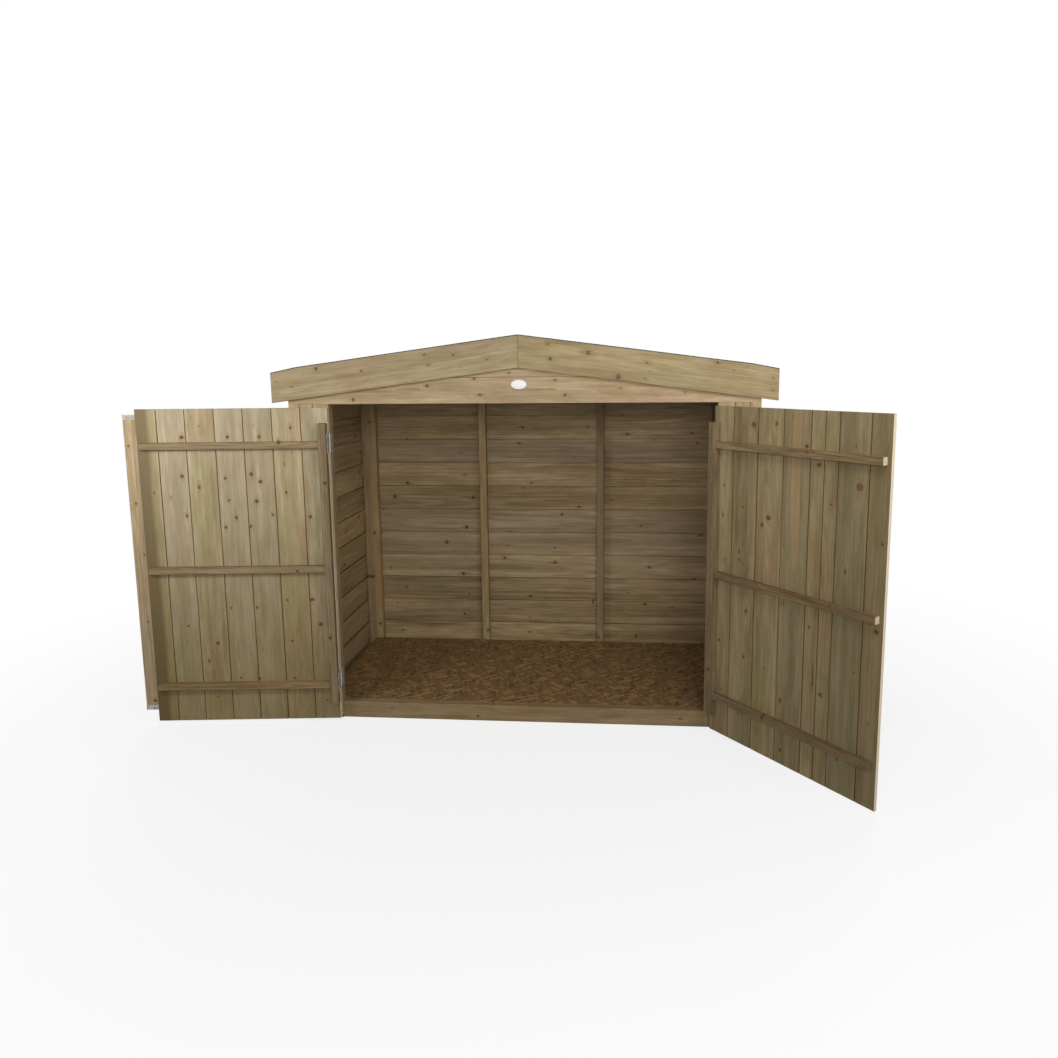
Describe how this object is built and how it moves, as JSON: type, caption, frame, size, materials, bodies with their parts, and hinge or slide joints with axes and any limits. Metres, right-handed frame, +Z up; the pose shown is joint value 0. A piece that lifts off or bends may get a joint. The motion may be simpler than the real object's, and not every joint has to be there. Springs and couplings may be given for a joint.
{
  "type": "bike shelter",
  "caption": "Low apex timber bike store with overlap-clad walls, a felted roof, a sheet floor and a pair of ledged doors that swing fully open on butt hinges.",
  "frame": {"origin": "on the ground under the middle of the floor, on the underside of the middle bearer", "axes": "+X to the right along the front as seen by someone facing the doorway, +Y from the front to the back, +Z up"},
  "size_m": [2.8118, 1.5356, 1.585],
  "materials": {
    "front_boards": "pressure-treated softwood, matt",
    "barge_boards": "pressure-treated softwood, matt",
    "overlap_cladding": "sawn softwood, matt",
    "framing_timber": "sawn softwood, matt",
    "roof_deck": "sheathing boards, matt",
    "floor_sheet": "oriented strand board, matt",
    "roof_felt": "mineral felt, coarse and matt",
    "left_door_boards": "pressure-treated softwood, matt",
    "right_door_boards": "pressure-treated softwood, matt",
    "door_timber": "sawn softwood, matt",
    "galvanised_steel": "galvanised, satin",
    "badge": "plain white"
  },
  "bodies": {
    "shed": {"left_front_boards": "front_boards", "right_front_boards": "front_boards", "front_corner_strips": "front_boards", "front_gable": "front_boards", "front_left_barge_board": "barge_boards", "front_right_barge_board": "barge_boards", "back_left_barge_board": "barge_boards", "back_right_barge_board": "barge_boards", "left_wall_cladding": "overlap_cladding", "right_wall_cladding": "overlap_cladding", "back_wall_cladding": "overlap_cladding", "floor_bearers": "framing_timber", "front_sill": "framing_timber", "door_posts": "framing_timber", "front_frame_rails": "framing_timber", "left_wall_studs": "framing_timber", "left_wall_rails": "framing_timber", "right_wall_studs": "framing_timber", "right_wall_rails": "framing_timber", "back_wall_studs": "framing_timber", "back_wall_rails": "framing_timber", "back_corner_strips": "framing_timber", "ridge_beam": "framing_timber", "left_eaves_board": "framing_timber", "right_eaves_board": "framing_timber", "left_roof_deck": "roof_deck", "right_roof_deck": "roof_deck", "floor_sheet": "floor_sheet", "left_roof_felt": "roof_felt", "right_roof_felt": "roof_felt", "post_hinge_leaves": "galvanised_steel", "gable_badge": "badge"},
    "left_door": {"left_door_boards": "left_door_boards", "left_door_ledges": "door_timber", "left_door_stile": "door_timber", "left_door_hinge_leaves": "galvanised_steel", "cover_strip": "door_timber", "cover_strip_caps": "galvanised_steel"},
    "right_door": {"right_door_boards": "right_door_boards", "right_door_ledges": "door_timber", "right_door_stile": "door_timber", "right_door_hinge_leaves": "galvanised_steel"}
  },
  "joints": [
    {"name": "left_door_hinge", "type": "hinge", "parent": "shed", "child": "left_door", "pos_m": [-0.7655, -0.449, 0.66], "axis": [0, 0, -1], "range_deg": [-174, 6]},
    {"name": "right_door_hinge", "type": "hinge", "parent": "shed", "child": "right_door", "pos_m": [0.7655, -0.449, 0.66], "axis": [0, 0, 1], "range_deg": [-128.5, 51.5]}
  ]
}
